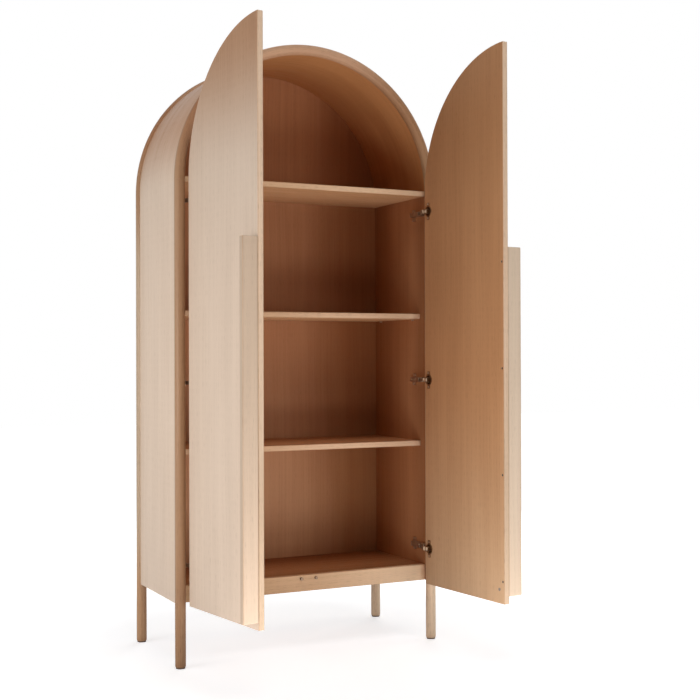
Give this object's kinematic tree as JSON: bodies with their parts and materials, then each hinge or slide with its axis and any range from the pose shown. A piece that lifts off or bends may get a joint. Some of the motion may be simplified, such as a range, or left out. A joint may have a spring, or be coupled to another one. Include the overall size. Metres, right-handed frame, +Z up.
{
  "type": "arched two-door wardrobe cabinet",
  "caption": "Tall arched-top storage cabinet in pale oak on round posts, with hinged doors on concealed hinges, long fin handles and shelves inside.",
  "frame": {"origin": "on the floor, under the middle of the bounding box with both doors standing open as in the rest pose", "axes": "+Z up, the doors face -Y, +X to the right of someone facing the doors"},
  "size_m": [1.0198, 0.9092, 2.0569],
  "materials": {
    "oak_veneer": "clear matt lacquer on pale oak veneer",
    "oak_solid": "clear matt lacquer on solid oak",
    "oak_inner": "clear matt lacquer on oak veneer",
    "oak_back": "thin oak veneered board",
    "oak_fin": "clear matt lacquer on solid oak",
    "nickel_steel": "nickel plated",
    "link_steel": "nickel plated",
    "dark_screw_steel": "dark plated",
    "magnet_steel": "plated"
  },
  "bodies": {
    "carcass": {"arch_front": "oak_solid", "arch_rear": "oak_solid", "back_panel": "oak_back", "base_rail_front": "oak_inner", "base_rail_rear": "oak_inner", "bottom_board": "oak_inner", "hinge_arm_left_1": "nickel_steel", "hinge_arm_left_2": "nickel_steel", "hinge_arm_left_3": "nickel_steel", "hinge_arm_right_1": "nickel_steel", "hinge_arm_right_2": "nickel_steel", "hinge_arm_right_3": "nickel_steel", "magnet_left": "magnet_steel", "magnet_right": "magnet_steel", "post_front_left": "oak_solid", "post_front_right": "oak_solid", "post_rear_left": "oak_solid", "post_rear_right": "oak_solid", "shelf_low": "oak_inner", "shelf_mid": "oak_inner", "shelf_pin_low_left_front": "nickel_steel", "shelf_pin_low_left_rear": "nickel_steel", "shelf_pin_low_right_front": "nickel_steel", "shelf_pin_low_right_rear": "nickel_steel", "shelf_pin_mid_left_front": "nickel_steel", "shelf_pin_mid_left_rear": "nickel_steel", "shelf_pin_mid_right_front": "nickel_steel", "shelf_pin_mid_right_rear": "nickel_steel", "shelf_top": "oak_inner", "side_panel_left": "oak_veneer", "side_panel_right": "oak_veneer", "top_panel": "oak_veneer"},
    "left_door": {"door_left": "oak_veneer", "fin_left": "oak_fin", "fin_screw_left_1": "dark_screw_steel", "fin_screw_left_2": "dark_screw_steel", "fin_screw_left_3": "dark_screw_steel", "fin_screw_left_4": "dark_screw_steel", "hinge_cup_left_1": "nickel_steel", "hinge_cup_left_2": "nickel_steel", "hinge_cup_left_3": "nickel_steel", "strike_left": "nickel_steel"},
    "right_door": {"door_right": "oak_veneer", "fin_right": "oak_fin", "fin_screw_right_1": "dark_screw_steel", "fin_screw_right_2": "dark_screw_steel", "fin_screw_right_3": "dark_screw_steel", "fin_screw_right_4": "dark_screw_steel", "hinge_cup_right_1": "nickel_steel", "hinge_cup_right_2": "nickel_steel", "hinge_cup_right_3": "nickel_steel", "strike_right": "nickel_steel"},
    "left_hinge_links": {"hinge_link_left_1": "link_steel", "hinge_link_left_2": "link_steel", "hinge_link_left_3": "link_steel"},
    "right_hinge_links": {"hinge_link_right_1": "link_steel", "hinge_link_right_2": "link_steel", "hinge_link_right_3": "link_steel"}
  },
  "joints": [
    {"name": "left_door_hinge", "type": "hinge", "parent": "carcass", "child": "left_door", "pos_m": [-0.48386, 0.00159, 0.9185], "axis": [0, 0, -1], "range_deg": [-82, 16]},
    {"name": "right_door_hinge", "type": "hinge", "parent": "carcass", "child": "right_door", "pos_m": [0.42914, 0.00159, 0.9185], "axis": [0, 0, 1], "range_deg": [-95, 3]},
    {"name": "left_link_pivot", "type": "hinge", "parent": "carcass", "child": "left_hinge_links", "pos_m": [-0.47036, 0.04009, 0.9185], "axis": [0, 0, -1], "range_deg": [-62, 13]},
    {"name": "right_link_pivot", "type": "hinge", "parent": "carcass", "child": "right_hinge_links", "pos_m": [0.41564, 0.04009, 0.9185], "axis": [0, 0, 1], "range_deg": [-72, 3]}
  ],
  "couplings": [
    {"joint": "left_link_pivot", "follows": "left_door_hinge", "ratio": 0.745},
    {"joint": "right_link_pivot", "follows": "right_door_hinge", "ratio": 0.745}
  ]
}
